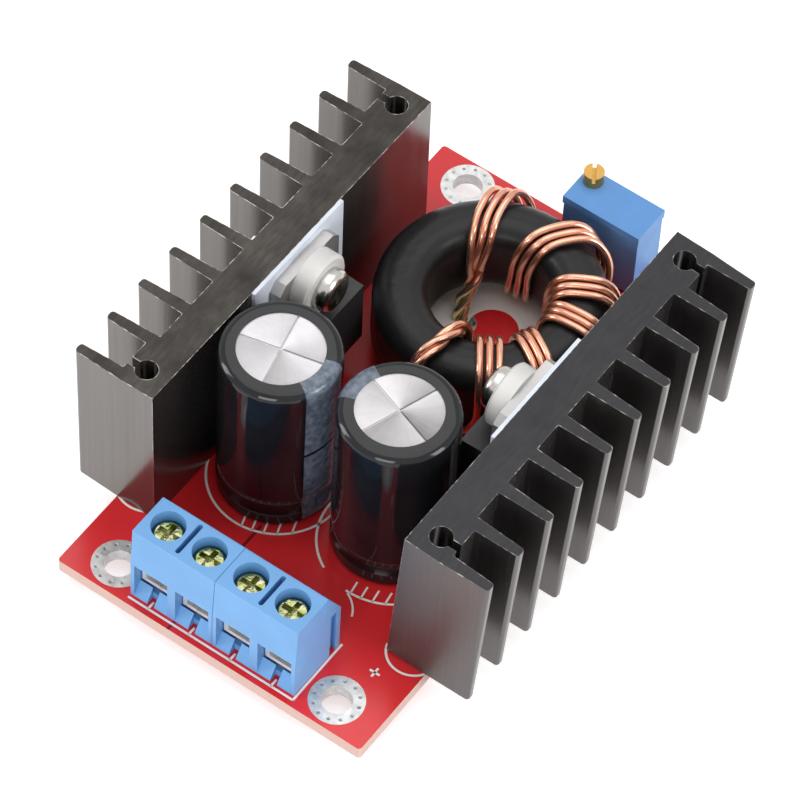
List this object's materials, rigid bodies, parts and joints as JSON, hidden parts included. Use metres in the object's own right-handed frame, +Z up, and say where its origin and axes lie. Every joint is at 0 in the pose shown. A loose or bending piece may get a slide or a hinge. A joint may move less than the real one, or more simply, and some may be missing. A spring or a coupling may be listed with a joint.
{
  "type": "boost converter module",
  "caption": "Open step-up converter board with screw terminals, upright capacitors, a toroidal choke, a trimmer and finned heatsinks along both long edges.",
  "frame": {"origin": "centre of the four mounting holes on the underside of the board", "axes": "+X along the screw terminal, +Y from the terminal to the trimmer, +Z up from the board"},
  "size_m": [0.0491, 0.067, 0.0249],
  "materials": {
    "solder_mask": "glossy red mask over fibreglass",
    "tin_plating": "tinned copper",
    "black_anodised": "black anodised, satin",
    "pin_tin": "tinned brass",
    "silicone_pad": "matte",
    "device_tab": "tinned copper",
    "epoxy": "fine matte moulding",
    "white_bush": "satin",
    "screw_steel": "nickel plated",
    "can": "satin",
    "sleeve": "glossy shrink film",
    "lead": "tinned wire",
    "seal": "matte",
    "core": "black coating over powdered metal",
    "copper": "enamelled copper",
    "terminal_blue": "satin moulding",
    "contact": "tinned brass",
    "clamp": "nickel plated brass",
    "zinc": "zinc, yellow passivated",
    "trimmer_blue": "satin moulding",
    "adjuster": "turned",
    "solder": "bright solder",
    "chip": "matte epoxy"
  },
  "bodies": {
    "module": {"circuit_board": "solder_mask", "hole_plating": "tin_plating", "heatsink_left": "black_anodised", "heatsink_right": "black_anodised", "heatsink_pins": "pin_tin", "insulating_pad_left": "silicone_pad", "insulating_pad_right": "silicone_pad", "device_frame_left": "device_tab", "device_frame_right": "device_tab", "device_body_left": "epoxy", "device_body_right": "epoxy", "shoulder_washer_left": "white_bush", "shoulder_washer_right": "white_bush", "clamp_screw_left": "screw_steel", "clamp_screw_right": "screw_steel", "toroid_core": "core", "winding_strand_1": "copper", "winding_strand_2": "copper", "winding_strand_3": "copper", "terminal_housing_left": "terminal_blue", "terminal_housing_right": "terminal_blue", "terminal_contacts": "contact", "trimmer_housing": "trimmer_blue", "trimmer_pins": "lead", "solder_joints": "solder", "control_chip": "chip", "sense_resistor": "chip", "chip_parts": "chip", "capacitor_1_can": "can", "capacitor_1_sleeve": "sleeve", "capacitor_1_leads": "lead", "capacitor_1_seal": "seal", "capacitor_2_can": "can", "capacitor_2_sleeve": "sleeve", "capacitor_2_leads": "lead", "capacitor_2_seal": "seal"},
    "terminal_screw_1": {"terminal_screw_1": "zinc"},
    "wire_clamp_1": {"wire_clamp_1": "clamp"},
    "terminal_screw_2": {"terminal_screw_2": "zinc"},
    "wire_clamp_2": {"wire_clamp_2": "clamp"},
    "terminal_screw_3": {"terminal_screw_3": "zinc"},
    "wire_clamp_3": {"wire_clamp_3": "clamp"},
    "terminal_screw_4": {"terminal_screw_4": "zinc"},
    "wire_clamp_4": {"wire_clamp_4": "clamp"},
    "trimmer_screw": {"trimmer_screw": "adjuster"}
  },
  "joints": [
    {"name": "screw_1_turn", "type": "hinge", "parent": "module", "child": "terminal_screw_1", "pos_m": [-0.00791, -0.02964, 0.0105], "axis": [0, 0, -1], "range_deg": [-648, 792]},
    {"name": "clamp_1_rise", "type": "slide", "parent": "module", "child": "wire_clamp_1", "axis": [0, 0, 1], "range_m": [-0.0009, 0.0011]},
    {"name": "screw_2_turn", "type": "hinge", "parent": "module", "child": "terminal_screw_2", "pos_m": [-0.00283, -0.02964, 0.0105], "axis": [0, 0, -1], "range_deg": [-648, 792]},
    {"name": "clamp_2_rise", "type": "slide", "parent": "module", "child": "wire_clamp_2", "axis": [0, 0, 1], "range_m": [-0.0009, 0.0011]},
    {"name": "screw_3_turn", "type": "hinge", "parent": "module", "child": "terminal_screw_3", "pos_m": [0.00225, -0.02964, 0.0105], "axis": [0, 0, -1], "range_deg": [-648, 792]},
    {"name": "clamp_3_rise", "type": "slide", "parent": "module", "child": "wire_clamp_3", "axis": [0, 0, 1], "range_m": [-0.0009, 0.0011]},
    {"name": "screw_4_turn", "type": "hinge", "parent": "module", "child": "terminal_screw_4", "pos_m": [0.00733, -0.02964, 0.0105], "axis": [0, 0, -1], "range_deg": [-648, 792]},
    {"name": "clamp_4_rise", "type": "slide", "parent": "module", "child": "wire_clamp_4", "axis": [0, 0, 1], "range_m": [-0.0009, 0.0011]},
    {"name": "trimmer_turn", "type": "hinge", "parent": "module", "child": "trimmer_screw", "pos_m": [0.00072, 0.03196, 0.0118], "axis": [0, 0, -1], "continuous": true}
  ],
  "couplings": [
    {"joint": "screw_1_turn", "follows": "clamp_1_rise", "rad_per_m": 12566},
    {"joint": "screw_2_turn", "follows": "clamp_2_rise", "rad_per_m": 12566},
    {"joint": "screw_3_turn", "follows": "clamp_3_rise", "rad_per_m": 12566},
    {"joint": "screw_4_turn", "follows": "clamp_4_rise", "rad_per_m": 12566}
  ]
}
